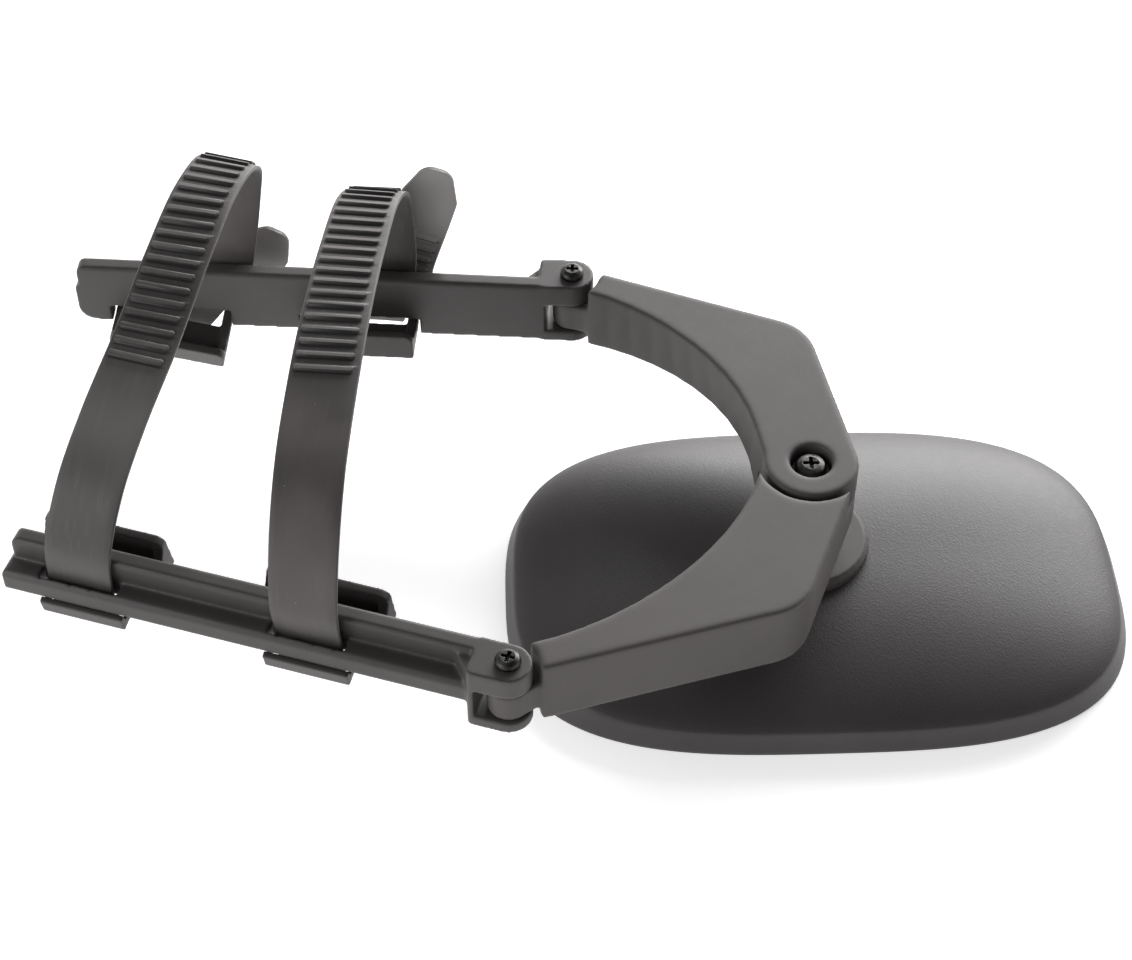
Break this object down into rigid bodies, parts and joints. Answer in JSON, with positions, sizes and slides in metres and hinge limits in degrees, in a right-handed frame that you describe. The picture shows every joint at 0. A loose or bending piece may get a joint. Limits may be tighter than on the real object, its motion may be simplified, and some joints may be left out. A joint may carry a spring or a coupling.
{
  "type": "strap-on extension mirror",
  "caption": "Extension mirror: a ball-jointed rectangular mirror head on two pivoting arms, with hinged gripping rails, hook clips and ribbed rubber straps.",
  "frame": {"origin": "the point of the mirror glass's front face that lies under the ball joint and the arm pivot", "axes": "+Z from the glass up the ball stud and arm pivot; +X along the length of the mirror head, away from the gripping rails; +Y towards arm A, the upper of the two arms"},
  "size_m": [0.3323, 0.1861, 0.1058],
  "materials": {
    "shell_plastic": "fine grained charcoal",
    "arm_plastic": "satin warm charcoal",
    "rail_plastic": "satin warm charcoal",
    "strap_rubber": "matte moulded rubber",
    "nylon": "natural nylon",
    "foam": "closed-cell foam",
    "dark_zinc": "dark zinc plate",
    "steel": "bright zinc plate",
    "mirror_coating": "first-surface reflective"
  },
  "bodies": {
    "head": {"head_shell": "shell_plastic", "mirror_glass": "mirror_coating", "glass_pad": "foam", "socket_ring": "arm_plastic", "ball_retainer": "steel", "retainer_screw_1": "dark_zinc", "retainer_screw_2": "dark_zinc", "retainer_screw_3": "dark_zinc", "retainer_screw_4": "dark_zinc"},
    "ball_seat_lower": {"lower_ball_seat": "nylon"},
    "ball_seat_upper": {"upper_ball_seat": "nylon"},
    "arm_b": {"arm_b": "arm_plastic", "ball_stud": "steel", "friction_washer": "nylon"},
    "arm_a": {"arm_a": "arm_plastic", "pivot_screw": "dark_zinc", "pivot_washer": "dark_zinc"},
    "rail_a": {"rail_a": "rail_plastic", "clevis_screw_a": "dark_zinc", "clevis_nut_a": "dark_zinc"},
    "rail_b": {"rail_b": "rail_plastic", "clevis_screw_b": "dark_zinc", "clevis_nut_b": "dark_zinc", "strap_1": "strap_rubber", "strap_2": "strap_rubber"},
    "clip_a1": {"clip_a1": "rail_plastic"},
    "clip_a2": {"clip_a2": "rail_plastic"},
    "clip_b1": {"clip_b1": "rail_plastic"},
    "clip_b2": {"clip_b2": "rail_plastic"}
  },
  "joints": [
    {"name": "ball_tilt_x", "type": "hinge", "parent": "head", "child": "ball_seat_lower", "pos_m": [0, 0, 0.0146], "axis": [1, 0, 0], "range_deg": [-7, 7]},
    {"name": "ball_tilt_y", "type": "hinge", "parent": "ball_seat_lower", "child": "ball_seat_upper", "pos_m": [0, 0, 0.0146], "axis": [0, 1, 0], "range_deg": [-7, 7]},
    {"name": "ball_spin", "type": "hinge", "parent": "ball_seat_upper", "child": "arm_b", "pos_m": [0, 0, 0.0146], "axis": [0, 0, 1], "continuous": true},
    {"name": "arm_pivot", "type": "hinge", "parent": "arm_b", "child": "arm_a", "pos_m": [0, 0, 0.044], "axis": [0, 0, 1], "range_deg": [-20, 8], "deforming": ["strap_1", "strap_2"]},
    {"name": "clevis_a", "type": "hinge", "parent": "arm_a", "child": "rail_a", "pos_m": [-0.06989, 0.07983, 0.0423], "axis": [0, 0, 1], "range_deg": [-15, 10], "deforming": ["strap_1", "strap_2"]},
    {"name": "clevis_b", "type": "hinge", "parent": "arm_b", "child": "rail_b", "pos_m": [-0.08754, -0.07503, 0.0423], "axis": [0, 0, 1], "range_deg": [-10, 15], "deforming": ["strap_1", "strap_2"]},
    {"name": "clip_a1_rock", "type": "hinge", "parent": "rail_a", "child": "clip_a1", "pos_m": [-0.13718, 0.08687, 0.0355], "axis": [-0.998, 0.0628, 0], "range_deg": [-10, 4], "deforming": ["strap_2"]},
    {"name": "clip_a2_rock", "type": "hinge", "parent": "rail_a", "child": "clip_a2", "pos_m": [-0.19759, 0.09488, 0.0339], "axis": [-0.998, 0.0628, 0], "range_deg": [-7, 4], "deforming": ["strap_1"]},
    {"name": "clip_b1_rock", "type": "hinge", "parent": "rail_b", "child": "clip_b1", "pos_m": [-0.14402, -0.0607, 0.0363], "axis": [0.9563, -0.2924, 0], "range_deg": [-13, 2], "deforming": ["strap_2"]},
    {"name": "clip_b2_rock", "type": "hinge", "parent": "rail_b", "child": "clip_b2", "pos_m": [-0.20943, -0.0407, 0.0363], "axis": [0.9563, -0.2924, 0], "range_deg": [-13, 2], "deforming": ["strap_1"]}
  ]
}
